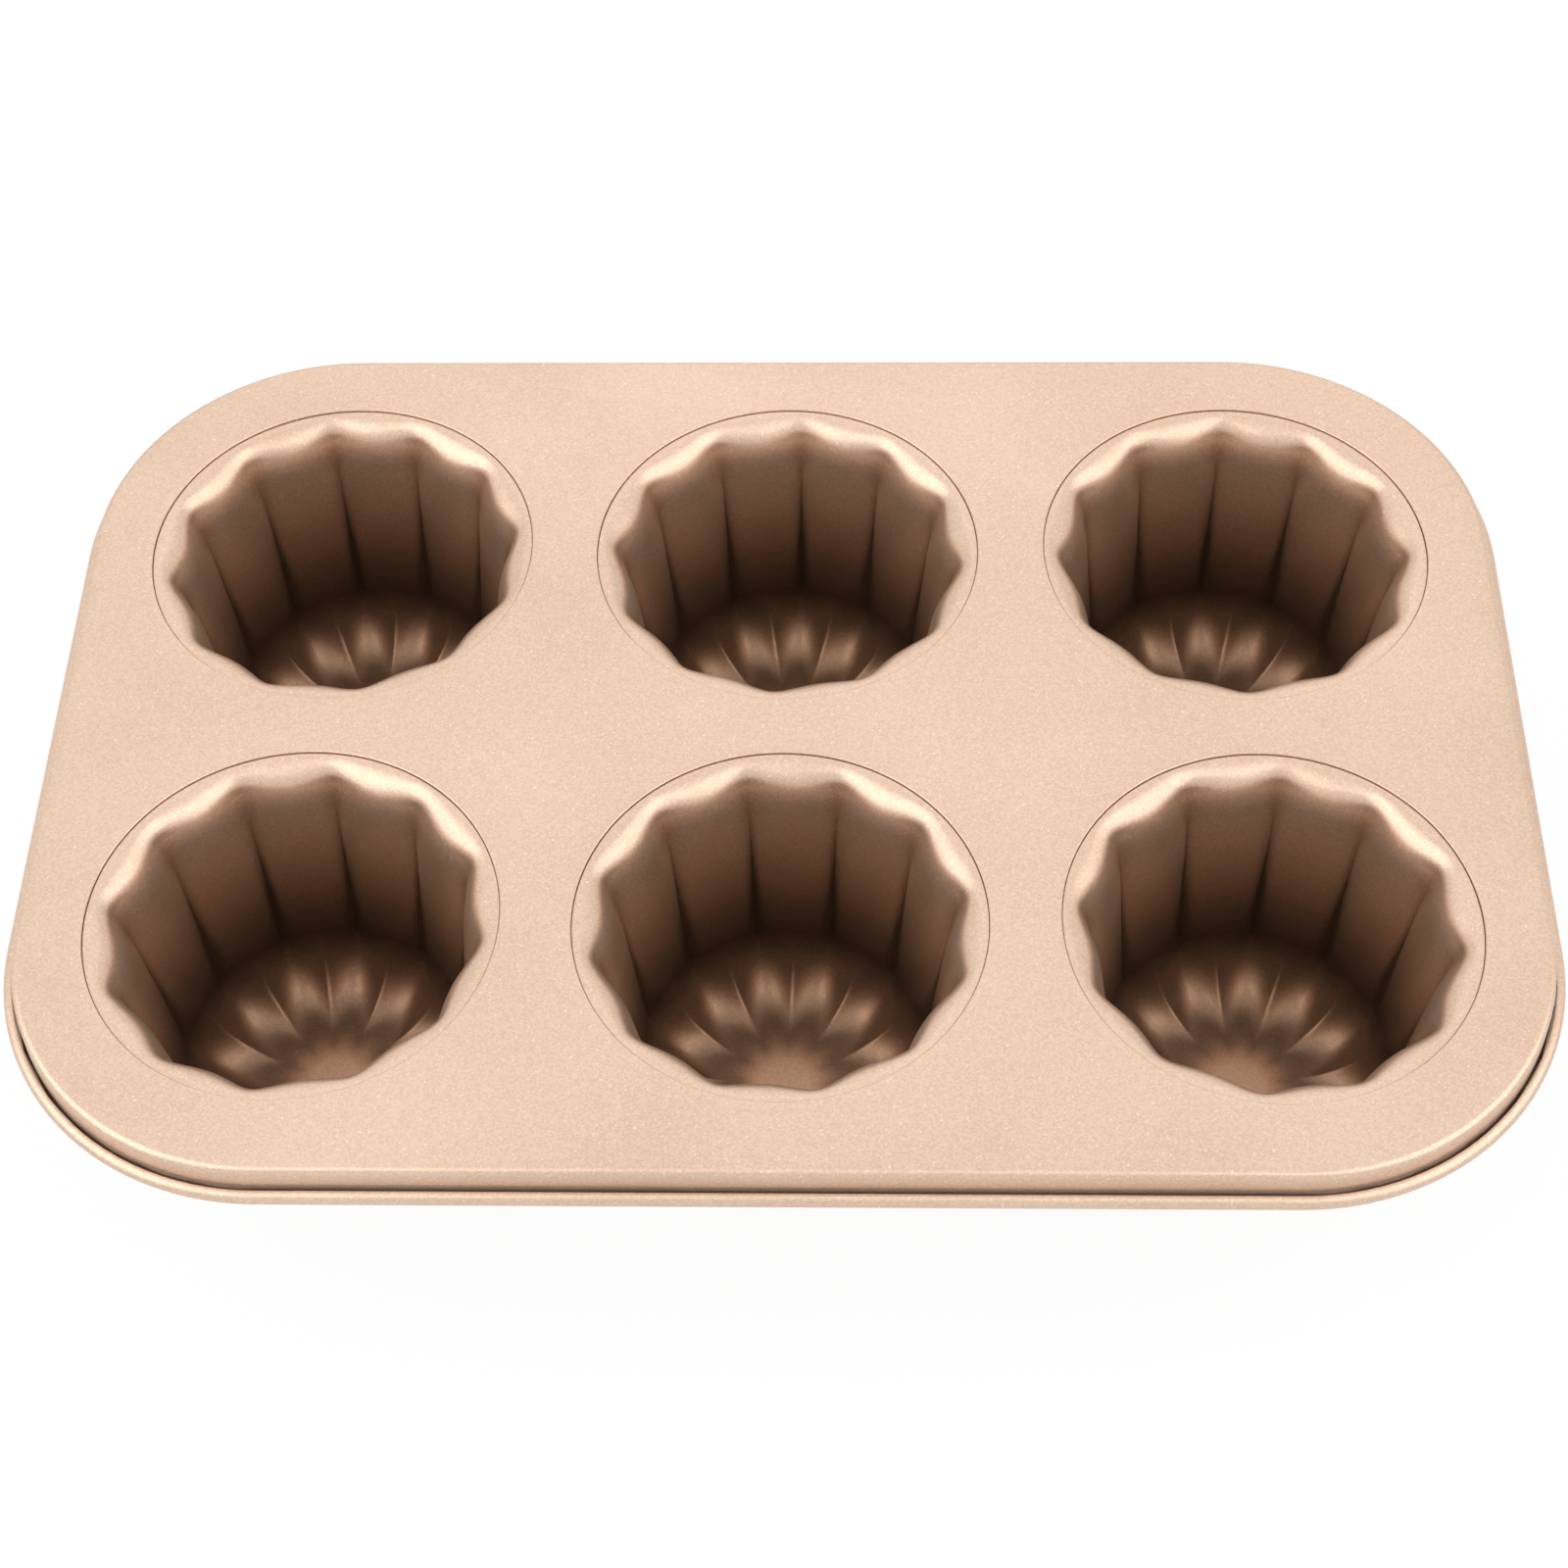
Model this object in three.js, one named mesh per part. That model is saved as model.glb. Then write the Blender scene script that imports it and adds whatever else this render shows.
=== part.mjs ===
// A six-cup fluted cake pan. A pressed steel tray has six round holes, and a deep-drawn fluted cup is hooked into each
// hole by a flat lock seam. The tray's rim is rolled round a wire. Sizes are in millimetres and +Z is up. The cup floors
// stand on z = 0 and the pan is centred on the Z axis, with its long side along X.

import * as THREE from 'three';

const { degToRad } = THREE.MathUtils;

// Steel sheet of the tray and the cups
const sheet = 0.5;

// Fluted cup, measured inside
const mouthRadius = 28.3; // out to the groove lines, where the wall's line meets the level of the lip
const cupDepth = 49; // tray top to floor
const wallDraft = degToRad(5.9);
const mouthFillet = 3.6;
const floorFillet = 11.5;
const fluteCount = 12;
const fluteDepth = 1.6; // groove line to panel crown

// Flat lock seam round each cup
const lipDrop = 0.5; // step down from the tray top to the cup's lip
const lipLedge = 0.15; // flat of the lip outside the mouth fillet, at a groove
const seamGap = 0.3; // open line between the lip and the tray's fold
const seamWidth = 3.3; // that line to the outer edge of the cup's hook
const seamClearance = 0.25; // between the folded layers
const foldNose = 0.3; // depth at which the tray's fold reaches furthest in
const foldRound = 0.4; // width of the fold's rounded edge
const foldLean = 0.55; // how far the fold leans out on its way down

// Tray layout
const webWidth = 4.4; // bare sheet between neighbouring seams
const endMargin = 7.1; // seam to skirt at the short ends
const sideMargin = 8.8; // seam to skirt along the long sides
const cornerRadius = 41.5;
const edgeFillet = 1.6;

// Skirt, and the rim rolled round its wire
const rimDrop = 5.5; // tray top to wire centre
const skirtFlare = 0.15; // how far the skirt leans out on its way down
const wireDiameter = 1.0;
const wireClearance = 0.25;
const rollGap = 0.3; // free edge of the roll to the skirt

// Facets
const stepsPerFlute = 3;
const floorFilletSteps = 3;
const mouthFilletSteps = 2;
const seamSteps = 36;
const cornerSteps = 7;
const edgeSteps = 2;
const rollSteps = 6;
const wireSides = 8;

// Rows and columns of cups, and how far each cup was turned when it was seamed in, in degrees from +X to a groove
const rowNames = ['back', 'front'];
const columnNames = ['left', 'middle', 'right'];
const cupTurns = [
  [10.7, 26.0, 0.3],
  [24.2, 11.9, 22.3],
];

// Sizes that follow from the ones above
const topZ = cupDepth + sheet;
const mouthRun = mouthFillet * Math.tan((Math.PI / 2 - wallDraft) / 2);
const lipRadius = mouthRadius + mouthRun + lipLedge;
const seamRadius = lipRadius + seamGap;
const seamOuter = seamRadius + seamWidth;
const pitch = 2 * seamOuter + webWidth;
const trayLength = (columnNames.length - 1) * pitch + 2 * (seamOuter + endMargin);
const trayWidth = (rowNames.length - 1) * pitch + 2 * (seamOuter + sideMargin);
const boreRadius = wireDiameter / 2 + wireClearance;
const wireOutset = skirtFlare + boreRadius;

// Depths of the seam's four layers below the tray top: tray sheet, cup hook, tray hem, cup flange
const layer = sheet + seamClearance;
const hookTop = layer;
const hookBottom = hookTop + sheet;
const hemTop = hookTop + layer;
const hemBottom = hemTop + sheet;
const flangeTop = hemTop + layer;
const flangeBottom = flangeTop + sheet;

// The tray's fold and the cup's rise beside it lean alike
const lean = foldLean / (hemBottom - foldNose);
const leaningSheet = sheet * Math.hypot(1, lean);
const foldOuter = (depth) => seamRadius + lean * (depth - foldNose);
const foldInner = (depth) => foldOuter(depth) + leaningSheet;
const riseInner = (depth) => lipRadius + lean * (depth - lipDrop);
const riseOuter = (depth) => riseInner(depth) - leaningSheet;
const hookInner = seamOuter - sheet;
const hookEnd = foldInner(hookBottom) + seamClearance;
const hemEnd = hookInner - seamClearance;

// Points of an arc, each as [across, up]
function arc(across, up, radius, from, to, steps) {
  return Array.from({ length: steps + 1 }, (_, i) => {
    const angle = from + ((to - from) * i) / steps;
    return [across + radius * Math.cos(angle), up + radius * Math.sin(angle)];
  });
}

// Closed skins are lofted from loops of points, each loop joined to the next
class Skin {
  constructor() {
    this.points = [];
    this.faces = [];
  }

  addLoop(loop) {
    const start = this.points.length;
    this.points.push(...loop);
    return loop.map((_, i) => start + i);
  }

  bridge(a, b) {
    a.forEach((_, i) => {
      const next = (i + 1) % a.length;
      this.faces.push([a[i], b[i], b[next]], [a[i], b[next], a[next]]);
    });
  }

  chain(loops) {
    const rings = loops.map((loop) => this.addLoop(loop));
    rings.slice(1).forEach((ring, i) => this.bridge(rings[i], ring));
    return { first: rings[0], last: rings.at(-1) };
  }

  // A flat sheet between an outer ring and the rings of its holes
  cap(outer, holes, facesUp) {
    const flat = (ring) => ring.map((i) => new THREE.Vector2(this.points[i].x, this.points[i].y));
    const order = [outer, ...holes].flat();
    THREE.ShapeUtils.triangulateShape(flat(outer), holes.map(flat)).forEach((face) => {
      const [a, b, c] = face.map((i) => order[i]);
      this.faces.push(facesUp ? [a, b, c] : [a, c, b]);
    });
  }

  geometry() {
    const geometry = new THREE.BufferGeometry().setFromPoints(this.points);
    geometry.setIndex(this.faces.flat());
    geometry.computeVertexNormals();
    return geometry;
  }
}

// The tray's outline, moved out from the skirt's top edge, anticlockwise from above
function trayLoop(outset, depth) {
  const radius = cornerRadius + outset;
  const corners = [[1, 1], [-1, 1], [-1, -1], [1, -1]];
  return corners.flatMap(([sideX, sideY], quarter) => {
    const x = sideX * (trayLength / 2 - cornerRadius);
    const y = sideY * (trayWidth / 2 - cornerRadius);
    const start = (quarter * Math.PI) / 2;
    return arc(x, y, radius, start, start + Math.PI / 2, cornerSteps).map(
      ([px, py]) => new THREE.Vector3(px, py, topZ - depth),
    );
  });
}

// A circle round a cup's axis, clockwise from above, so that a skin along it faces the hole
function seamLoop(centre, radius, depth) {
  return Array.from({ length: seamSteps }, (_, i) => {
    const angle = (-2 * Math.PI * i) / seamSteps;
    const x = centre.x + radius * Math.cos(angle);
    const y = centre.y + radius * Math.sin(angle);
    return new THREE.Vector3(x, y, topZ - depth);
  });
}

// Section of the tray's edge as [outset, depth]: over the rounded edge, down the skirt, round inside the roll, back round
// its outside and up the skirt's inner face
function rimSection() {
  const edge = arc(-edgeFillet, -edgeFillet, edgeFillet, Math.PI / 2, 0, edgeSteps);
  const edgeUnder = arc(-edgeFillet, -edgeFillet, edgeFillet - sheet, 0, Math.PI / 2, edgeSteps);
  const rollRadius = boreRadius + sheet;
  const rollEnd = 2 * Math.PI + Math.acos((rollGap - boreRadius) / rollRadius);
  const bore = arc(wireOutset, -rimDrop, boreRadius, Math.PI, rollEnd, rollSteps);
  const roll = arc(wireOutset, -rimDrop, rollRadius, rollEnd, Math.PI, rollSteps);
  return [...edge, ...bore, ...roll, ...edgeUnder].map(([outset, up]) => [outset, -up]);
}

// Section of the tray's fold round a hole as [radius, depth]: over the fold, under the hem and back to the sheet
function hemSection() {
  return [
    [seamRadius + foldRound, 0],
    [seamRadius, foldNose],
    [foldOuter(hemBottom), hemBottom],
    [hemEnd, hemBottom],
    [hemEnd, hemTop],
    [foldInner(hemTop), hemTop],
    [foldInner(sheet), sheet],
  ];
}

function trayGeometry(cupCentres) {
  const skin = new Skin();
  const rim = skin.chain(rimSection().map(([outset, depth]) => trayLoop(outset, depth)));
  const holes = cupCentres.map((centre) =>
    skin.chain(hemSection().map(([radius, depth]) => seamLoop(centre, radius, depth))),
  );
  skin.cap(rim.first, holes.map((hole) => hole.first), true);
  skin.cap(rim.last, holes.map((hole) => hole.last), false);
  return skin.geometry();
}

function wireGeometry() {
  const section = arc(wireOutset, -rimDrop, wireDiameter / 2, 2 * Math.PI, 0, wireSides).slice(0, wireSides);
  const skin = new Skin();
  const { first, last } = skin.chain(section.map(([outset, up]) => trayLoop(outset, -up)));
  skin.bridge(last, first);
  return skin.geometry();
}

// Section of a cup along a groove line: out over the floor, up the wall, over the lip, round the hook of the seam and
// back under. Each row is { radius, z, flute }, and flute says how much of the flutes' depth that row takes.
function cupSection() {
  const row = (flute) => ([radius, z]) => ({ radius, z, flute });
  const lipZ = topZ - lipDrop;
  const wallRadius = (z) => mouthRadius - (lipZ - z) * Math.tan(wallDraft);
  const floorTangentZ = sheet + floorFillet * (1 - Math.sin(wallDraft));
  const floorCentre = [wallRadius(floorTangentZ) - floorFillet * Math.cos(wallDraft), sheet + floorFillet];
  const mouthCentre = [mouthRadius + mouthRun, lipZ - mouthFillet];
  const floorArc = (radius) => {
    const points = arc(...floorCentre, radius, -Math.PI / 2, -wallDraft, floorFilletSteps);
    return points.map((point, i) => row(Math.sin((i / floorFilletSteps) * (Math.PI / 2)))(point));
  };
  const mouthArc = (radius) =>
    arc(...mouthCentre, radius, Math.PI - wallDraft, Math.PI / 2, mouthFilletSteps).map(row(1));
  const seam = [
    [lipRadius, lipDrop],
    [riseInner(flangeTop), flangeTop],
    [hookInner, flangeTop],
    [hookInner, hookBottom],
    [hookEnd, hookBottom],
    [hookEnd, hookTop],
    [seamOuter, hookTop],
    [seamOuter, flangeBottom],
    [riseOuter(flangeBottom), flangeBottom],
    [riseOuter(lipDrop + sheet), lipDrop + sheet],
  ].map(([radius, depth]) => row(0)([radius, topZ - depth]));
  const inside = [row(0)([0, sheet]), ...floorArc(floorFillet), ...mouthArc(mouthFillet)];
  const outside = [...floorArc(floorFillet + sheet).reverse(), row(0)([0, 0])];
  const outsideMouth = mouthArc(mouthFillet - sheet).slice(0, mouthFilletSteps).reverse();
  return [...inside, ...seam, ...outsideMouth, ...outside];
}

// The section is turned about the cup's axis, then its panels are pushed in between the groove lines
function cupGeometry() {
  const section = cupSection().reverse();
  const profile = section.map(({ radius, z }) => new THREE.Vector2(radius, z));
  const geometry = new THREE.LatheGeometry(profile, fluteCount * stepsPerFlute);
  geometry.rotateX(Math.PI / 2);
  const position = geometry.getAttribute('position');
  for (let i = 0; i < position.count; i += 1) {
    const { radius, flute } = section[i % section.length];
    const angle = Math.atan2(position.getY(i), position.getX(i)) + Math.PI / 2;
    const push = fluteDepth * flute * Math.abs(Math.sin((fluteCount * angle) / 2));
    const scale = radius > 0 ? 1 - push / radius : 0;
    position.setXY(i, position.getX(i) * scale, position.getY(i) * scale);
  }
  geometry.computeVertexNormals();
  return geometry;
}

function coat() {
  return new THREE.MeshStandardMaterial({ color: 0xd9b696, metalness: 0.6, roughness: 0.42 });
}

function bareWire() {
  return new THREE.MeshStandardMaterial({ color: 0x9b9d9f, metalness: 1.0, roughness: 0.35 });
}

function namedMesh(name, geometry, material) {
  const mesh = new THREE.Mesh(geometry, material);
  mesh.name = name;
  return mesh;
}

const cups = rowNames.flatMap((rowName, row) =>
  columnNames.map((columnName, column) => ({
    name: `cup_${rowName}_${columnName}`,
    x: (column - (columnNames.length - 1) / 2) * pitch,
    y: ((rowNames.length - 1) / 2 - row) * pitch,
    turn: degToRad(cupTurns[row][column]),
  })),
);

const pan = new THREE.Group();
pan.add(namedMesh('tray', trayGeometry(cups), coat()));
pan.add(namedMesh('rim_wire', wireGeometry(), bareWire()));
cups.forEach(({ name, x, y, turn }) => {
  const cup = namedMesh(name, cupGeometry(), coat());
  cup.position.set(x, y, 0);
  cup.rotation.z = turn;
  pan.add(cup);
});

export default pan;
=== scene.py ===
import math

import bmesh
import bpy
from mathutils import Matrix, Vector


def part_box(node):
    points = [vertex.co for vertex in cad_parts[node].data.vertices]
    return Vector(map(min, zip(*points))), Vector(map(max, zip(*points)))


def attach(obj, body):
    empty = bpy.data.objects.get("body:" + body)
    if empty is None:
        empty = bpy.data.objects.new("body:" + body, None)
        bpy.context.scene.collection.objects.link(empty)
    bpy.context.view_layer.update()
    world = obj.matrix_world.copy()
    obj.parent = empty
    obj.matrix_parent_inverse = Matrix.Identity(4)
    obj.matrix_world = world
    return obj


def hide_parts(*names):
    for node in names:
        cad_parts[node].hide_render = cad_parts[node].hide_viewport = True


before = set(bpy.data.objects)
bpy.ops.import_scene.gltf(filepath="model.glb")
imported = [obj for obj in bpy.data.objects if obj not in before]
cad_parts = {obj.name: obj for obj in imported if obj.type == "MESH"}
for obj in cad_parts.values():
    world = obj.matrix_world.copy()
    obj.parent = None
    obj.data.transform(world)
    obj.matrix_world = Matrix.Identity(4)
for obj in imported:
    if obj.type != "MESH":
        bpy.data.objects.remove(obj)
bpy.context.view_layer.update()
mm = 0.001
print("frame loaded:", len(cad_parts), "nodes")

_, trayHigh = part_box("tray")
topZ = trayHigh.z
cupNames = sorted(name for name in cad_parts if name.startswith("cup_"))


# camera: solved from the photograph, in front of the pan and above it
cameraSet = {
    "place": (10.75 * mm, -282.9 * mm, 416.9 * mm),
    "lens": 66.38,  # lens and sensor in millimetres, as Blender has them
    "sensor": 36,
    "nearest": 10 * mm,  # nothing closer is drawn
    "lookDown": math.radians(53.554),
    "yaw": math.radians(2.228),
    "roll": math.radians(-1.675),
}


def addCamera():
    bpy.ops.object.camera_add()
    camera = bpy.context.object
    camera.name = "camera"
    camera.data.lens = cameraSet["lens"]
    camera.data.sensor_width = cameraSet["sensor"]
    camera.data.clip_start = cameraSet["nearest"]
    turn = (
        Matrix.Rotation(cameraSet["yaw"], 4, "Z")
        @ Matrix.Rotation(math.radians(90) - cameraSet["lookDown"], 4, "X")
        @ Matrix.Rotation(cameraSet["roll"], 4, "Z")
    )
    camera.matrix_world = Matrix.Translation(cameraSet["place"]) @ turn
    bpy.context.scene.camera = camera


addCamera()
print("camera set")


# small helpers for edit mode work
def arc(across, up, radius, start, end, steps):
    angles = [start + (end - start) * i / steps for i in range(steps + 1)]
    return [(across + radius * math.cos(a), up + radius * math.sin(a)) for a in angles]


def clearSelection():
    if bpy.context.mode != "OBJECT":
        bpy.ops.object.mode_set(mode="OBJECT")
    bpy.ops.object.select_all(action="DESELECT")


def middleOf(name):
    low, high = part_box(name)
    return (low + high) / 2


def copyOf(piece):
    clearSelection()
    piece.select_set(True)
    bpy.context.view_layer.objects.active = piece
    bpy.ops.object.duplicate(linked=False)
    return bpy.context.object


def selectOnly(piece, indices):
    bpy.ops.mesh.select_all(action="DESELECT")
    bm = bmesh.from_edit_mesh(piece.data)
    bm.verts.ensure_lookup_table()
    for i in indices:
        bm.verts[i].select = True
    bm.select_flush(True)


def faceOutwards():
    bpy.ops.mesh.select_all(action="SELECT")
    bpy.ops.mesh.normals_make_consistent(inside=False)


# the last of every sheet: sharp edges are eased, and curved faces shade smoothly
finish = {
    "edgeRound": 0.06 * mm,
    "edgeSteps": 2,
    "edgeAngle": math.radians(50),  # only sharper edges are eased
    "smoothAngle": math.radians(40),
}


def finishPiece(piece):
    bevel = piece.modifiers.new("edgeRound", "BEVEL")
    bevel.width = finish["edgeRound"]
    bevel.segments = finish["edgeSteps"]
    bevel.limit_method = "ANGLE"
    bevel.angle_limit = finish["edgeAngle"]
    bpy.ops.object.modifier_apply(modifier=bevel.name)
    bpy.ops.object.shade_smooth_by_angle(angle=finish["smoothAngle"])


# flat lock seam: the tray's hem and the cup's hook are folded over each other
seam = {
    "sheet": 0.5 * mm,
    "lipRadius": 31.887 * mm,  # edge of the cup's lip
    "lipDrop": 0.38 * mm,  # step down from the tray top
    "gap": 0.1 * mm,
    "width": 3.3 * mm,
    "clearance": 0.25 * mm,
    "foldNose": 0.25 * mm,
    "foldRound": 0.22 * mm,
    "lean": 0.3235,
}
seamRadius = seam["lipRadius"] + seam["gap"]
seamOuter = seamRadius + seam["width"]
layer = seam["sheet"] + seam["clearance"]
hookTop = layer
hookBottom = hookTop + seam["sheet"]
hemTop = hookTop + layer
hemBottom = hemTop + seam["sheet"]
flangeTop = hemTop + layer
flangeBottom = flangeTop + seam["sheet"]
leaningSheet = seam["sheet"] * math.hypot(1, seam["lean"])
hookInner = seamOuter - seam["sheet"]


def foldOuter(depth):
    return seamRadius + seam["lean"] * (depth - seam["foldNose"])


def riseInner(depth):
    return seam["lipRadius"] + seam["lean"] * (depth - seam["lipDrop"])


# fluted cup, deep drawn: sharp grooves up the wall, pleats that run in over the floor, a flared mouth
cup = {
    "mouthRadius": 28.3 * mm,  # out to the groove lines
    "draft": math.radians(5.9),
    "flutes": 12,
    "fluteDepth": 1.6 * mm,
    "grooveFillet": 11.0 * mm,  # floor to wall along a groove
    "pleatFillet": 12.6 * mm,  # the same along a crest
    "floorMiddle": 5.0 * mm,  # radius of the floor's smooth middle
    "startRadius": 4.0 * mm,  # first ring, inside that middle
    "lipBend": 4.7 * mm,  # upper radius of the mouth, along a crest
    "flare": 16.0 * mm,  # lower radius, where it runs out into the wall
    "flareTurn": math.radians(66),
    "panelFlat": 0.58,  # 0 keeps the wall's panels round, towards 1 they flatten between narrow grooves
    "pleatShare": 0.92,  # 0 keeps a sharp groove and a round crest round the floor, 1 turns them over
    "stationsPerFlute": 32,
    "grooveRound": 0.13,  # softness of a groove on the wall
    "lipRound": 0.5,  # softness of the wave at the lip
    "crestRound": 0.04,  # softness of a pleat's crest
    "floorSteps": 5,
    "footSteps": 14,
    "wallSteps": 10,
    "flareSteps": 6,
    "lipSteps": 9,
    "pleatFade": 0.3,  # upper share of the foot, in which the pleats give way to the wall
    "flatFade": 0.12,  # upper share of the wall, in which its panels turn round again
    "waveHold": 0.4,  # lower share of the mouth, which keeps the flutes' full depth
    "waveEnd": 0.1 * mm,  # from the end of the flutes to the lip's edge
    "waveEndUnder": 0.05 * mm,  # the same on the underside
    "edgeRings": (0.08 * mm, 0.04 * mm),  # two rings just inside the lip's edge
    "edgeOut": 0.02 * mm,  # the ring that turns over the edge
    "edgeDrop": 0.05 * mm,
    "leastLift": 0.001 * mm,  # smaller moves are left out
    "groovePaintedShade": 1.3,  # how much deeper the painted shade is along the grooves of the wall
    "grooveFocus": 4,  # higher keeps that closer to the groove lines
    # painted shade inside the cup, darker deep down, round the floor's edge and low on the wall, by
    # place: 0 middle of the floor, 1 its edge, 2 foot of the wall,
    # 3 top of the wall, 4 edge of the lip
    "drawnCoat": [
        (0, 0.2), (0.37, 0.28), (0.5, 0.5), (0.65, 0.76), (0.82, 0.86),
        (1, 0.8), (1.3, 0.66), (1.7, 0.8),
        (2, 1), (2.25, 0.87), (2.5, 0.58), (2.75, 0.3),
        (3, 0.2), (3.3, 0.12), (3.6, 0),
    ],
}
# degrees from +X to a groove of each cup, as it was seamed in
cupTurns = {
    "cup_back_left": 10.7,
    "cup_back_middle": 26.0,
    "cup_back_right": 0.3,
    "cup_front_left": 24.2,
    "cup_front_middle": 11.9,
    "cup_front_right": 22.3,
}


# size of x with its point rounded off: 0 at 0 and 1 at 1
def softAbs(x, soft):
    return (math.sqrt(x * x + soft * soft) - soft) / (math.sqrt(1 + soft * soft) - soft)


# 0 at a groove, 1 at a crest
def fluteWave(angle, soft, pleat, flat):
    half = angle * cup["flutes"] / 2
    panel = softAbs(math.sin(half), soft) ** (1 - cup["panelFlat"] * flat)
    channel = 1 - softAbs(math.cos(half), cup["crestRound"])
    return panel + (channel - panel) * pleat * cup["pleatShare"]


# how much painted shade a place along the cup's section gets
def drawnAt(place):
    pairs = cup["drawnCoat"]
    for (a, low), (b, high) in zip(pairs, pairs[1:]):
        if place <= b:
            return low + (high - low) * (place - a) / (b - a)
    return pairs[-1][1]


# centre of an arc that rolls from the floor into the wall
def footCentre(radius, inset):
    lipZ = topZ - seam["lipDrop"]
    z = seam["sheet"] + radius
    wall = cup["mouthRadius"] - inset - (lipZ - z) * math.tan(cup["draft"])
    return wall - radius / math.cos(cup["draft"]), z


# rows of the cup's skin: radius and height at a groove, the same at a crest, softness of the groove,
# share of the pleats, flatness of the panels, painted shade
def cupRows():
    sheet = seam["sheet"]
    draft = cup["draft"]
    steep = math.pi / 2 - draft
    lipZ = topZ - seam["lipDrop"]
    lipEdge = seam["lipRadius"]
    flute = cup["fluteDepth"]
    start = cup["floorMiddle"]
    bend, flare, turn = cup["lipBend"], cup["flare"], cup["flareTurn"]
    grooveFoot = footCentre(cup["grooveFillet"], 0)
    crestFoot = footCentre(cup["pleatFillet"], flute)
    flareShift = ((flare - bend) * math.sin(turn), (bend - flare) * math.cos(turn))
    flareDrop = bend - flareShift[1] - flare * math.cos(steep)
    lipStart = (
        cup["mouthRadius"] - flute - flareDrop * math.tan(draft)
        - flareShift[0] + flare * math.sin(steep)
    )
    bendCentre = (lipStart, lipZ - bend)
    flareCentre = (lipStart + flareShift[0], lipZ - bend + flareShift[1])

    # the last argument is 1 on the inside, where the painted shade is laid, and 0 on the outside
    def body(offset, grooveTop, shadeInside):
        rows = []
        sweep = (-math.pi / 2, -draft, cup["footSteps"])
        grooveArc = arc(*grooveFoot, cup["grooveFillet"] + offset, *sweep)
        crestArc = arc(*crestFoot, cup["pleatFillet"] + offset, *sweep)
        floorZ = sheet - offset
        for i in range(cup["floorSteps"]):
            share = i / cup["floorSteps"]
            groove = (start + (grooveFoot[0] - start) * share, floorZ)
            crest = (start + (crestFoot[0] - start) * share, floorZ)
            shadeFactor = shadeInside * drawnAt(groove[0] / grooveFoot[0])
            rows.append((*groove, *crest, cup["grooveRound"], 1, 0, shadeFactor))
        for i, (groove, crest) in enumerate(zip(grooveArc, crestArc)):
            share = i / cup["footSteps"]
            pleat = min(1, (1 - share) / cup["pleatFade"])
            rows.append((*groove, *crest, cup["grooveRound"], pleat, share, shadeInside * drawnAt(1 + share)))
        mouth = arc(*flareCentre, flare - offset, math.pi - draft, math.pi / 2 + turn, cup["flareSteps"])
        mouth += arc(*bendCentre, bend - offset, math.pi / 2 + turn, math.pi / 2, cup["lipSteps"])[1:]
        top = mouth[0]
        for i in range(1, cup["wallSteps"]):
            share = i / cup["wallSteps"]
            (r0, z0), (r1, z1) = grooveArc[-1], crestArc[-1]
            groove = (r0 + (top[0] + flute - r0) * share, z0 + (top[1] - z0) * share)
            crest = (r1 + (top[0] - r1) * share, z1 + (top[1] - z1) * share)
            flat = min(1, (1 - share) / cup["flatFade"])
            rows.append((*groove, *crest, cup["grooveRound"], 0, flat, shadeInside * drawnAt(2 + share)))
        for i, (r, z) in enumerate(mouth):
            share = i / (len(mouth) - 1)
            fade = max(0, share - cup["waveHold"]) / (1 - cup["waveHold"])
            depth = flute + (grooveTop - lipStart - flute) * fade
            soft = cup["grooveRound"] + (cup["lipRound"] - cup["grooveRound"]) * share
            rows.append((r + depth, z, r, z, soft, 0, 0, shadeInside * drawnAt(3 + share)))
        return rows

    def plain(radius, depth):
        return (radius, topZ - depth, radius, topZ - depth, 1, 0, 0, 0)

    hookEnd = foldOuter(hookBottom) + leaningSheet + seam["clearance"]
    underLip = riseInner(seam["lipDrop"] + sheet) - leaningSheet
    fold = [
        plain(lipEdge - cup["edgeRings"][0], seam["lipDrop"]),
        plain(lipEdge - cup["edgeRings"][1], seam["lipDrop"]),
        plain(lipEdge + cup["edgeOut"], seam["lipDrop"] + cup["edgeDrop"]),
        plain(riseInner(flangeTop), flangeTop),
        plain(hookInner, flangeTop),
        plain(hookInner, hookBottom),
        plain(hookEnd, hookBottom),
        plain(hookEnd, hookTop),
        plain(seamOuter, hookTop),
        plain(seamOuter, flangeBottom),
        plain(riseInner(flangeBottom) - leaningSheet, flangeBottom),
        plain(underLip, seam["lipDrop"] + sheet),
    ]
    inside = body(0, lipEdge - cup["waveEnd"], 1)
    outside = body(sheet, underLip - cup["waveEndUnder"], 0)[::-1]
    return inside + fold + outside


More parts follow.
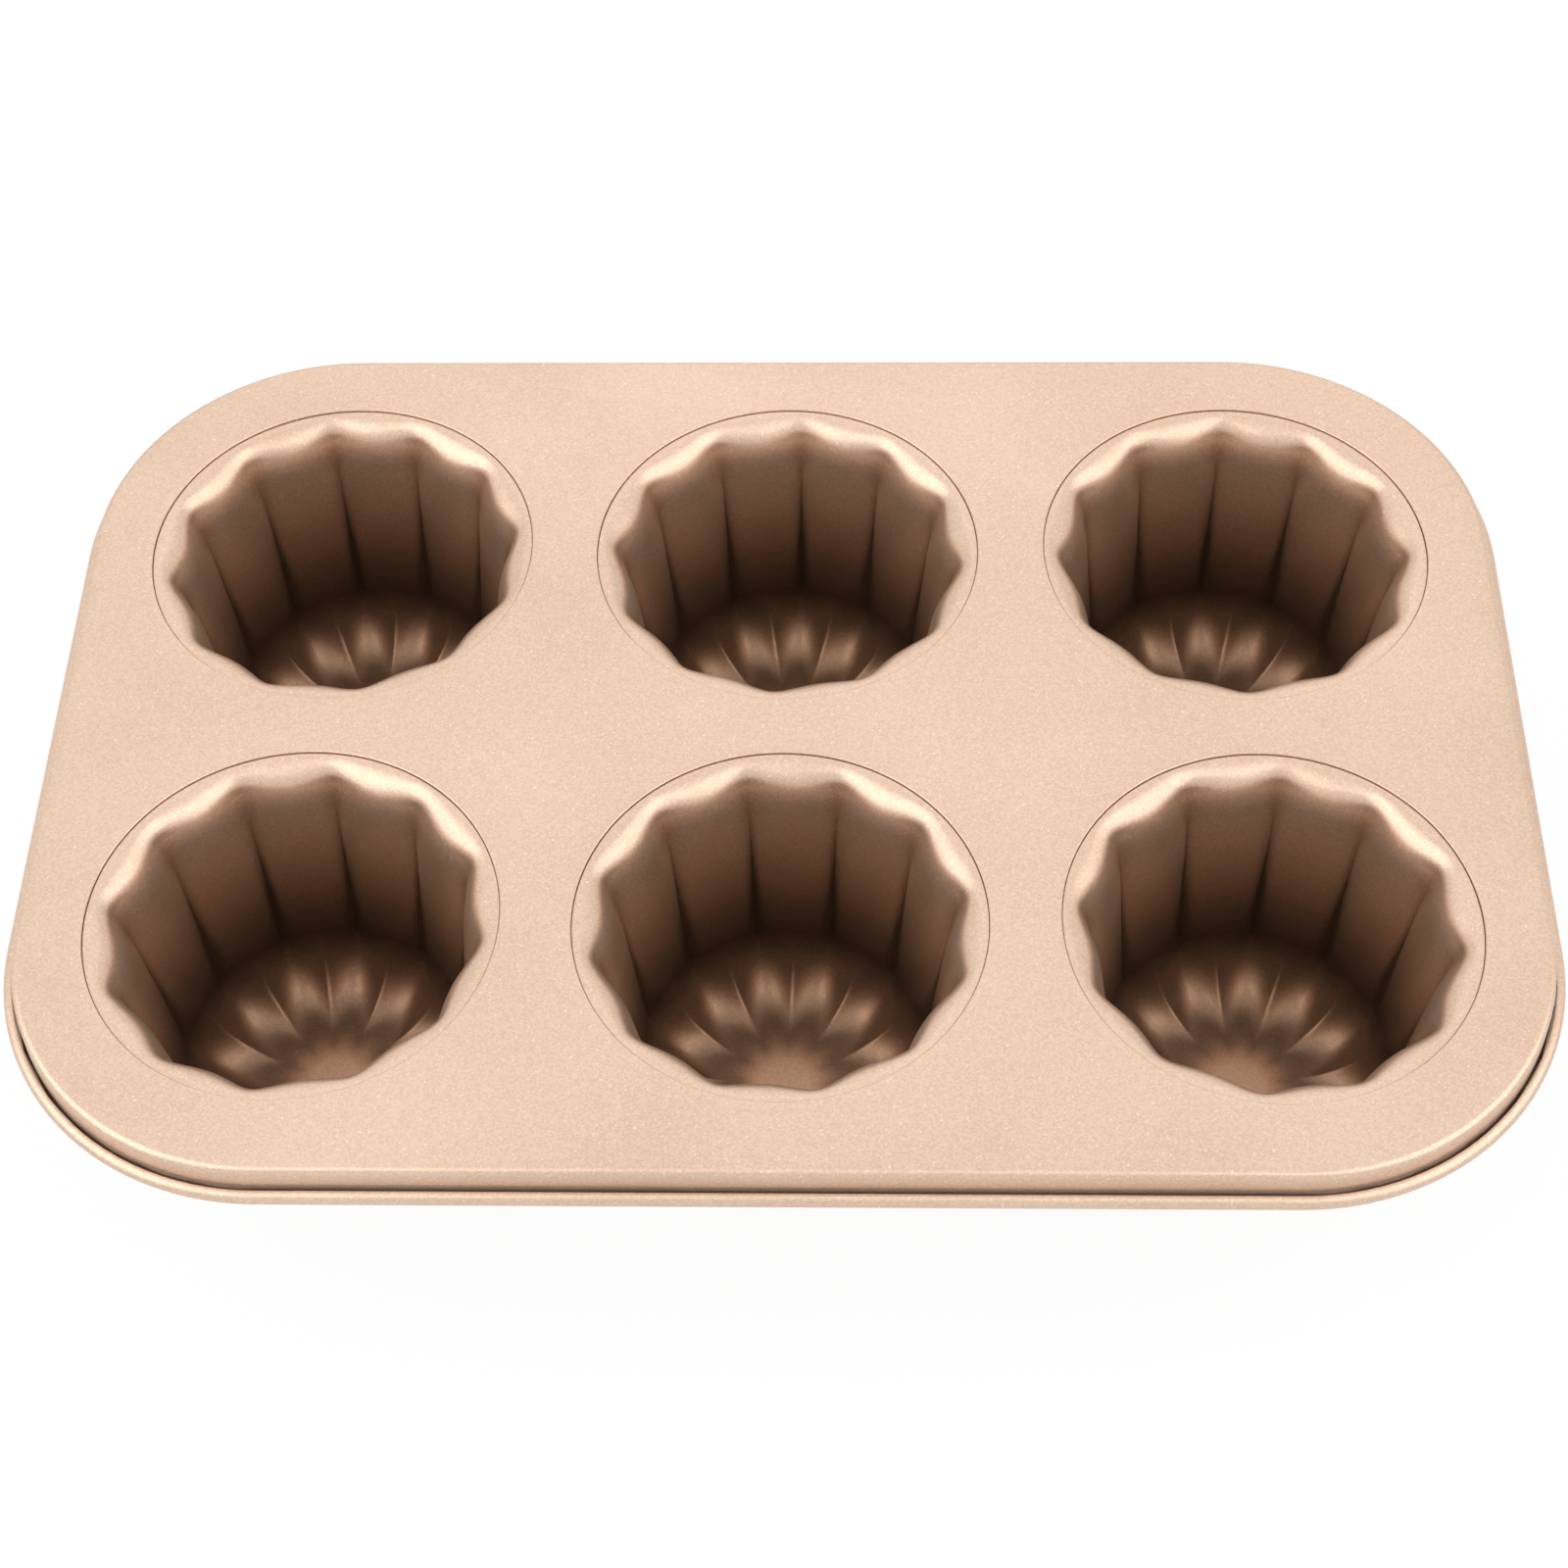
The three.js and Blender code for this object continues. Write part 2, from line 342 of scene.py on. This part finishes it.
def buildCup():
    clearSelection()
    count = cup["flutes"] * cup["stationsPerFlute"]
    start = cup["startRadius"]
    bpy.ops.mesh.primitive_circle_add(
        vertices=count, radius=start, fill_type="TRIFAN", location=(0, 0, seam["sheet"])
    )
    piece = bpy.context.object
    piece.name = piece.data.name = "cupModel"
    bpy.ops.object.transform_apply(location=True)
    bpy.ops.object.mode_set(mode="EDIT")
    bpy.ops.mesh.select_mode(type="VERT")
    bpy.ops.mesh.select_all(action="SELECT")
    bpy.ops.mesh.region_to_loop()
    bpy.ops.mesh.select_mode(type="VERT")
    half = cup["stationsPerFlute"] // 2
    stationAngle = 2 * math.pi / count
    radii = [start] * (half + 1)
    heights = [seam["sheet"]] * (half + 1)
    bm = bmesh.from_edit_mesh(piece.data)
    # each point carries the painted shade for the inside of the cup
    shadeLayer = bm.verts.layers.float.new("drawnCoat")
    for v in bm.verts:
        v[shadeLayer] = drawnAt(0)
    for grooveRadius, grooveZ, crestRadius, crestZ, soft, pleat, flat, drawn in cupRows():
        climb = grooveZ - heights[0]
        bpy.ops.mesh.extrude_edges_move(TRANSFORM_OT_translate={"value": (0, 0, climb)})
        stations = [[] for _ in range(half + 1)]
        bm = bmesh.from_edit_mesh(piece.data)
        shadeLayer = bm.verts.layers.float["drawnCoat"]
        waves = [fluteWave(i * stationAngle, soft, pleat, flat) for i in range(half + 1)]
        for v in bm.verts:
            if v.select:
                step = round(math.atan2(v.co.y, v.co.x) / stationAngle) % cup["stationsPerFlute"]
                station = min(step, cup["stationsPerFlute"] - step)
                stations[station].append(v.index)
                # painted shade, deepened along the grooves of the wall but not in the pleats
                inGroove = (1 - waves[station]) ** cup["grooveFocus"]
                grooveShading = 0 if pleat else cup["groovePaintedShade"] * inGroove
                v[shadeLayer] = min(1, drawn * (1 + grooveShading))
        for station, indices in enumerate(stations):
            radius = grooveRadius + (crestRadius - grooveRadius) * waves[station]
            height = grooveZ + (crestZ - grooveZ) * waves[station]
            lift = height - heights[station] - climb
            scale = radius / radii[station]
            selectOnly(piece, indices)
            bpy.ops.transform.resize(value=(scale, scale, 1), center_override=(0, 0, 0))
            if abs(lift) > cup["leastLift"]:
                bpy.ops.transform.translate(value=(0, 0, lift))
                heights[station] = height
            else:
                heights[station] += climb
            radii[station] = radius
        selectOnly(piece, sum(stations, []))
    bpy.ops.mesh.edge_face_add()
    bpy.ops.mesh.poke()
    faceOutwards()
    bpy.ops.object.mode_set(mode="OBJECT")
    finishPiece(piece)
    return piece


def placeCups(model, material):
    for name in cupNames:
        middle = middleOf(name)
        piece = copyOf(model)
        piece.name = piece.data.name = name.replace("cup", "flutedCup")
        piece.rotation_euler.z = math.radians(cupTurns[name])
        piece.location = (middle.x, middle.y, 0)
        bpy.ops.object.transform_apply(location=True, rotation=True)
        piece.data.materials.clear()
        piece.data.materials.append(material)
        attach(piece, "root")
        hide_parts(name)
    bpy.data.objects.remove(model)


# pressed tray: flat top, rounded edge, short skirt, rim rolled round its wire
tray = {
    "cornerRadius": 41.5 * mm,
    "edgeFillet": 1.05 * mm,
    "rimDrop": 5.5 * mm,  # top to the wire's centre
    "skirtFlare": 0.15 * mm,
    "bore": 0.75 * mm,
    "rollGap": 0.5 * mm,
    "flat": 1.5 * mm,  # flat margin inside the rounded edge
    "edgeSteps": 10,
    "rollSteps": 26,
    "cornerSteps": 28,
    "ringStations": 144,
    "printDepth": 0.01 * mm,  # faint ring where the hook's edge prints through
    "printPlace": 2.2 * mm,
    "printWidth": 0.9 * mm,
    "printSteps": 8,
    "foldSteps": 5,
    "holeMargin": 1 * mm,  # flat ring round each seam
    "weld": 0.01 * mm,  # points this close are one
}


def drawSection(name, points):
    clearSelection()
    bpy.ops.mesh.primitive_plane_add(size=1 * mm, location=points[0])
    piece = bpy.context.object
    piece.name = piece.data.name = name
    bpy.ops.object.transform_apply(location=True)
    bpy.ops.object.mode_set(mode="EDIT")
    bpy.ops.mesh.select_mode(type="VERT")
    bpy.ops.mesh.select_all(action="SELECT")
    bpy.ops.mesh.merge(type="CENTER")
    for here, there in zip(points, points[1:]):
        step = Vector(there) - Vector(here)
        bpy.ops.mesh.extrude_region_move(TRANSFORM_OT_translate={"value": step})
    return piece


def buildRim():
    sheet = seam["sheet"]
    edge = tray["edgeFillet"]
    drop = tray["rimDrop"]
    bore = tray["bore"]
    outset = tray["skirtFlare"] + bore
    roll = bore + sheet
    halfX = trayHigh.x - outset - roll
    halfY = trayHigh.y - outset - roll
    rollEnd = 2 * math.pi + math.acos((tray["rollGap"] - bore) / roll)
    section = [(-edge - tray["flat"], 0)]
    section += arc(-edge, -edge, edge, math.pi / 2, 0, tray["edgeSteps"])
    section += arc(outset, -drop, bore, math.pi, rollEnd, tray["rollSteps"])
    section += arc(outset, -drop, roll, rollEnd, math.pi, tray["rollSteps"])
    section += arc(-edge, -edge, edge - sheet, 0, math.pi / 2, tray["edgeSteps"])
    section += [(-edge - tray["flat"], -sheet)]
    corner = tray["cornerRadius"]
    straightX = halfX - corner
    straightY = halfY - corner
    points = [(halfX + out, -straightY, topZ + up) for out, up in section]
    piece = drawSection("pressedTray", points)
    sides = [
        ((0, 2 * straightY, 0), (straightX, straightY)),
        ((-2 * straightX, 0, 0), (-straightX, straightY)),
        ((0, -2 * straightY, 0), (-straightX, -straightY)),
        ((2 * straightX, 0, 0), (straightX, -straightY)),
    ]
    bpy.ops.mesh.select_all(action="SELECT")
    for run, (x, y) in sides:
        bpy.ops.mesh.extrude_edges_move(TRANSFORM_OT_translate={"value": run})
        bpy.ops.mesh.spin(
            steps=tray["cornerSteps"], angle=-math.pi / 2, center=(x, y, 0), axis=(0, 0, 1)
        )
    bpy.ops.mesh.select_all(action="SELECT")
    bpy.ops.mesh.remove_doubles(threshold=tray["weld"])
    bpy.ops.object.mode_set(mode="OBJECT")
    return piece


# section of the fold round a hole: over the sheet, round the fold, under the hem, back to the
# underside of the sheet
def holeRows():
    sheet = seam["sheet"]
    place, width = tray["printPlace"], tray["printWidth"]
    outer = seamOuter + tray["holeMargin"]
    rows = [(outer, 0)]
    for i in range(tray["printSteps"] + 1):
        share = i / tray["printSteps"]
        dip = tray["printDepth"] * (1 - math.cos(2 * math.pi * share)) / 2
        rows.append((seamRadius + place + width * (0.5 - share), dip))
    bend = seam["foldRound"]
    for i in range(tray["foldSteps"] + 1):
        angle = math.pi / 2 * i / tray["foldSteps"]
        radius = seamRadius + bend * (1 - math.sin(angle))
        rows.append((radius, seam["foldNose"] * (1 - math.cos(angle))))
    hemEnd = hookInner - seam["clearance"]
    rows += [
        (foldOuter(hemBottom), hemBottom),
        (hemEnd, hemBottom),
        (hemEnd, hemTop),
        (foldOuter(hemTop) + leaningSheet, hemTop),
        (foldOuter(sheet) + leaningSheet, sheet),
        (outer, sheet),
    ]
    return rows


def buildHole(middle):
    clearSelection()
    rows = holeRows()
    radius, depth = rows[0]
    bpy.ops.mesh.primitive_circle_add(
        vertices=tray["ringStations"], radius=radius, location=(middle.x, middle.y, topZ - depth)
    )
    piece = bpy.context.object
    bpy.ops.object.transform_apply(location=True)
    bpy.ops.object.mode_set(mode="EDIT")
    bpy.ops.mesh.select_mode(type="VERT")
    bpy.ops.mesh.select_all(action="SELECT")
    for nextRadius, nextDepth in rows[1:]:
        bpy.ops.mesh.extrude_edges_move(
            TRANSFORM_OT_translate={"value": (0, 0, depth - nextDepth)}
        )
        scale = nextRadius / radius
        bpy.ops.transform.resize(
            value=(scale, scale, 1), center_override=(middle.x, middle.y, topZ)
        )
        radius, depth = nextRadius, nextDepth
    bpy.ops.object.mode_set(mode="OBJECT")
    return piece


def buildTray(material):
    piece = buildRim()
    firstMiddle = middleOf(cupNames[0])
    hole = buildHole(firstMiddle)
    holes = [hole]
    for name in cupNames[1:]:
        step = middleOf(name) - firstMiddle
        holes.append(copyOf(hole))
        bpy.ops.transform.translate(value=(step.x, step.y, 0))
        bpy.ops.object.transform_apply(location=True)
    clearSelection()
    for part in holes + [piece]:
        part.select_set(True)
    bpy.context.view_layer.objects.active = piece
    bpy.ops.object.join()
    bpy.ops.object.mode_set(mode="EDIT")
    bpy.ops.mesh.select_mode(type="EDGE")
    for level in (topZ, topZ - seam["sheet"]):
        bm = bmesh.from_edit_mesh(piece.data)
        bpy.ops.mesh.select_all(action="DESELECT")
        for edge in bm.edges:
            atLevel = all(abs(v.co.z - level) < tray["weld"] for v in edge.verts)
            edge.select = edge.is_boundary and atLevel
        bpy.ops.mesh.fill(use_beauty=True)
    faceOutwards()
    bpy.ops.object.mode_set(mode="OBJECT")
    finishPiece(piece)
    piece.data.materials.clear()
    piece.data.materials.append(material)
    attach(piece, "root")
    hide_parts("tray")


# materials
def linear(hexColour):
    channels = [int(hexColour[i : i + 2], 16) / 255 for i in (1, 3, 5)]
    return [c / 12.92 if c <= 0.04045 else ((c + 0.055) / 1.055) ** 2.4 for c in channels] + [1]


def addNode(tree, kind, settings=None, inputs=None, links=None):
    node = tree.nodes.new(kind)
    for key, value in (settings or {}).items():
        setattr(node, key, value)
    for key, value in (inputs or {}).items():
        node.inputs[key].default_value = value
    for key, socket in (links or {}).items():
        tree.links.new(socket, node.inputs[key])
    return node


def startMaterial(name):
    material = bpy.data.materials.new(name)
    material.use_nodes = True
    material.node_tree.nodes.clear()
    return material, material.node_tree


coating = {
    "pale": "#dcc0aa",
    "deep": "#c9ac95",
    # factors on those tones for the painted shade inside the cups, from none to the deepest
    "unshaded": "#ffffff",
    "lightShade": "#e9d8c8",  # light painted shade, as under the lips of the cups
    "midShade": "#cbb7a6",
    "drawn": "#666059",
    "lightShadeAt": 0.25,  # places of the two middle factors on that way
    "midShadeAt": 0.5,
    "spark": "#fff3e4",
    "sparkRange": (0.975, 1.0),  # only the brightest flakes flash
    "sparkMost": 0.35,
    "grainShare": 0.75,  # how far single flakes tint the tone, beside the drift
    "toneRange": (0.4, 1.35),
    "flake": 0.27 * mm,  # pearl flakes, drawn coarser than real ones so that they show
    "peel": 0.9 * mm,  # orange peel of the sprayed coat
    "drift": 45 * mm,  # slow change of tone over the sheet
    "gloss": (0.29, 0.39),  # roughness of the flakes that lie flat and of the matt ones between
    "dull": 0.05,  # roughness added where the painted shade is deepest
    "metallic": 0.72,
    "noiseDetail": 3,
    "peelFine": 0.6,
    "peelBump": 0.25,
    "flakeBump": 0.15,
    "bumpHeight": 0.02 * mm,
}


def champagneCoating():
    # baked silicone non-stick coat with pearl flakes, sprayed on steel: a satin gold with a fine sparkle
    material, tree = startMaterial("champagneNonStickCoat")
    place = addNode(tree, "ShaderNodeTexCoord").outputs["Object"]
    flakes = addNode(
        tree, "ShaderNodeTexVoronoi", inputs={"Scale": 1 / coating["flake"]}, links={"Vector": place}
    )
    drift = addNode(
        tree,
        "ShaderNodeTexNoise",
        inputs={"Scale": 1 / coating["drift"], "Detail": coating["noiseDetail"]},
        links={"Vector": place},
    )
    peel = addNode(
        tree,
        "ShaderNodeTexNoise",
        inputs={
            "Scale": 1 / coating["peel"],
            "Detail": coating["noiseDetail"],
            "Roughness": coating["peelFine"],
        },
        links={"Vector": place},
    )
    grain = addNode(tree, "ShaderNodeSeparateColor", links={"Color": flakes.outputs["Color"]})
    tone = addNode(
        tree,
        "ShaderNodeMath",
        {"operation": "MULTIPLY_ADD"},
        {1: coating["grainShare"]},
        {0: grain.outputs["Red"], 2: drift.outputs["Fac"]},
    )
    colour = addNode(
        tree,
        "ShaderNodeMix",
        {"data_type": "RGBA"},
        {"A": linear(coating["deep"]), "B": linear(coating["pale"])},
    )
    spread = addNode(
        tree,
        "ShaderNodeMapRange",
        inputs={"From Min": coating["toneRange"][0], "From Max": coating["toneRange"][1]},
        links={"Value": tone.outputs["Value"]},
    )
    tree.links.new(spread.outputs["Result"], colour.inputs["Factor"])
    # painted shade inside the cups, read from the points and multiplied into the colour: darker towards
    # the floor and along the grooves
    drawn = addNode(tree, "ShaderNodeAttribute", {"attribute_name": "drawnCoat"})
    shadeFactor = addNode(tree, "ShaderNodeValToRGB", links={"Fac": drawn.outputs["Fac"]})
    shadeFactor.color_ramp.elements[0].color = linear(coating["unshaded"])
    shadeFactor.color_ramp.elements[1].color = linear(coating["drawn"])
    shadeFactor.color_ramp.elements.new(coating["lightShadeAt"]).color = linear(coating["lightShade"])
    shadeFactor.color_ramp.elements.new(coating["midShadeAt"]).color = linear(coating["midShade"])
    spark = addNode(
        tree,
        "ShaderNodeMapRange",
        inputs={
            "From Min": coating["sparkRange"][0],
            "From Max": coating["sparkRange"][1],
            "To Max": coating["sparkMost"],
        },
        links={"Value": grain.outputs["Green"]},
    )
    sparkled = addNode(
        tree,
        "ShaderNodeMix",
        {"data_type": "RGBA"},
        {"B": linear(coating["spark"])},
        {"Factor": spark.outputs["Result"], "A": colour.outputs["Result"]},
    )
    shadedColour = addNode(
        tree,
        "ShaderNodeMix",
        {"data_type": "RGBA", "blend_type": "MULTIPLY"},
        {"Factor": 1.0},
        {"A": sparkled.outputs["Result"], "B": shadeFactor.outputs["Color"]},
    )
    rough = addNode(
        tree,
        "ShaderNodeMapRange",
        inputs={"To Min": coating["gloss"][0], "To Max": coating["gloss"][1]},
        links={"Value": grain.outputs["Green"]},
    )
    dulled = addNode(
        tree,
        "ShaderNodeMath",
        {"operation": "MULTIPLY_ADD"},
        {1: coating["dull"]},
        {0: drawn.outputs["Fac"], 2: rough.outputs["Result"]},
    )
    peelBump = addNode(
        tree,
        "ShaderNodeBump",
        inputs={"Strength": coating["peelBump"], "Distance": coating["bumpHeight"]},
        links={"Height": peel.outputs["Fac"]},
    )
    flakeBump = addNode(
        tree,
        "ShaderNodeBump",
        inputs={"Strength": coating["flakeBump"], "Distance": coating["bumpHeight"]},
        links={"Height": grain.outputs["Blue"], "Normal": peelBump.outputs["Normal"]},
    )
    shader = addNode(
        tree,
        "ShaderNodeBsdfPrincipled",
        inputs={"Metallic": coating["metallic"]},
        links={
            "Base Color": shadedColour.outputs["Result"],
            "Roughness": dulled.outputs["Value"],
            "Normal": flakeBump.outputs["Normal"],
        },
    )
    addNode(tree, "ShaderNodeOutputMaterial", links={"Surface": shader.outputs["BSDF"]})
    return material


wire = {
    "bright": "#a9abad",
    "dull": "#8b8c8e",
    "drawLine": 0.4 * mm,
    "detail": 4,
    "gloss": (0.28, 0.45),
}


def drawnSteelWire():
    # cold drawn steel wire, left bare: grey, with fine lines along its length
    material, tree = startMaterial("drawnSteelWire")
    place = addNode(tree, "ShaderNodeTexCoord").outputs["Object"]
    lines = addNode(
        tree,
        "ShaderNodeTexNoise",
        inputs={"Scale": 1 / wire["drawLine"], "Detail": wire["detail"]},
        links={"Vector": place},
    )
    colour = addNode(
        tree,
        "ShaderNodeMix",
        {"data_type": "RGBA"},
        {"A": linear(wire["dull"]), "B": linear(wire["bright"])},
        {"Factor": lines.outputs["Fac"]},
    )
    rough = addNode(
        tree,
        "ShaderNodeMapRange",
        inputs={"To Min": wire["gloss"][0], "To Max": wire["gloss"][1]},
        links={"Value": lines.outputs["Fac"]},
    )
    shader = addNode(
        tree,
        "ShaderNodeBsdfPrincipled",
        inputs={"Metallic": 1.0},
        links={"Base Color": colour.outputs["Result"], "Roughness": rough.outputs["Result"]},
    )
    addNode(tree, "ShaderNodeOutputMaterial", links={"Surface": shader.outputs["BSDF"]})
    return material


coat = champagneCoating()
buildTray(coat)
print("tray built")
placeCups(buildCup(), coat)
print("cups built:", len(cupNames))
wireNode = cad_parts["rim_wire"]
wireNode.data.materials.clear()
wireNode.data.materials.append(drawnSteelWire())


# stage: pale floor, white surroundings, soft boxes
studio = {
    "floorSize": 3.0,
    "floorDrop": 0.03 * mm,  # keeps the floor clear of the flat undersides of the cups
    "floorGlow": 0.93,  # share of plain white that the floor shows
    "fill": 0.8,  # world light on matt surfaces
    "room": 0.98,  # brightness of the room round the table, as the metal shows it
    "sky": 1.0,  # the same for the ceiling
    "skyHeight": 0.9,  # how high the ceiling is reached
    "skyLean": 0.05,  # and how far it leans to the back
    "paper": "#fafafa",
    "boxes": [
        {"name": "leftBox", "place": (-0.95, -0.30, 0.95), "size": 1.5, "power": 10.6},
        {"name": "rightBox", "place": (0.95, -0.30, 0.95), "size": 1.5, "power": 9.2},
        {"name": "backBox", "place": (0.0, 0.85, 0.85), "size": 0.9, "power": 0.9},
        {"name": "topBox", "place": (0.0, -0.1, 1.25), "size": 0.6, "power": 0.3},
    ],
}


# 1 for rays that show the surroundings: from the camera, and by reflection or through glass
def shownRay(tree):
    rays = addNode(tree, "ShaderNodeLightPath")
    seen = addNode(
        tree,
        "ShaderNodeMath",
        {"operation": "MAXIMUM"},
        links={0: rays.outputs["Is Camera Ray"], 1: rays.outputs["Is Glossy Ray"]},
    )
    shown = addNode(
        tree,
        "ShaderNodeMath",
        {"operation": "MAXIMUM"},
        links={0: seen.outputs["Value"], 1: rays.outputs["Is Transmission Ray"]},
    )
    return shown.outputs["Value"]


def whiteSurroundings():
    world = bpy.data.worlds.new("whiteSurroundings")
    bpy.context.scene.world = world
    world.use_nodes = True
    tree = world.node_tree
    tree.nodes.clear()
    level = addNode(
        tree,
        "ShaderNodeMapRange",
        inputs={"To Min": studio["fill"], "To Max": 1.0},
        links={"Value": shownRay(tree)},
    )
    direction = addNode(tree, "ShaderNodeTexCoord").outputs["Generated"]
    axes = addNode(tree, "ShaderNodeSeparateXYZ", links={"Vector": direction})
    height = addNode(
        tree,
        "ShaderNodeMath",
        {"operation": "MULTIPLY_ADD"},
        {1: studio["skyLean"]},
        {0: axes.outputs["Y"], 2: axes.outputs["Z"]},
    )
    room = addNode(
        tree,
        "ShaderNodeMapRange",
        {"interpolation_type": "SMOOTHSTEP"},
        {"From Max": studio["skyHeight"], "To Min": studio["room"], "To Max": studio["sky"]},
        {"Value": height.outputs["Value"]},
    )
    seen = addNode(
        tree,
        "ShaderNodeMath",
        {"operation": "MAXIMUM"},
        links={
            0: room.outputs["Result"],
            1: addNode(tree, "ShaderNodeLightPath").outputs["Is Camera Ray"],
        },
    )
    strength = addNode(
        tree,
        "ShaderNodeMath",
        {"operation": "MULTIPLY"},
        links={0: level.outputs["Result"], 1: seen.outputs["Value"]},
    )
    light = addNode(
        tree,
        "ShaderNodeBackground",
        inputs={"Color": (1, 1, 1, 1)},
        links={"Strength": strength.outputs["Value"]},
    )
    addNode(tree, "ShaderNodeOutputWorld", links={"Surface": light.outputs["Background"]})


def paleFloor():
    # matt white paper, which keeps the soft shadow
    clearSelection()
    bpy.ops.mesh.primitive_plane_add(size=studio["floorSize"], location=(0, 0, -studio["floorDrop"]))
    floor = bpy.context.object
    floor.name = "floor"
    material, tree = startMaterial("mattWhitePaper")
    paper = addNode(tree, "ShaderNodeBsdfDiffuse", inputs={"Color": linear(studio["paper"])})
    glow = addNode(tree, "ShaderNodeEmission", inputs={"Color": (1, 1, 1, 1), "Strength": 1.0})
    share = addNode(
        tree,
        "ShaderNodeMath",
        {"operation": "MULTIPLY"},
        {1: studio["floorGlow"]},
        {0: shownRay(tree)},
    )
    mix = addNode(
        tree,
        "ShaderNodeMixShader",
        links={0: share.outputs["Value"], 1: paper.outputs["BSDF"], 2: glow.outputs["Emission"]},
    )
    addNode(tree, "ShaderNodeOutputMaterial", links={"Surface": mix.outputs["Shader"]})
    floor.data.materials.append(material)


def softBox(box):
    bpy.ops.object.light_add(type="AREA", location=box["place"])
    lamp = bpy.context.object
    lamp.name = box["name"]
    lamp.data.shape = "SQUARE"
    lamp.data.size = box["size"]
    lamp.data.energy = box["power"]
    aim = Vector((0, 0, topZ)) - Vector(box["place"])
    lamp.rotation_euler = aim.to_track_quat("-Z", "Y").to_euler()


whiteSurroundings()
paleFloor()
for box in studio["boxes"]:
    softBox(box)
bpy.context.scene.view_settings.view_transform = "Standard"
print("stage set")
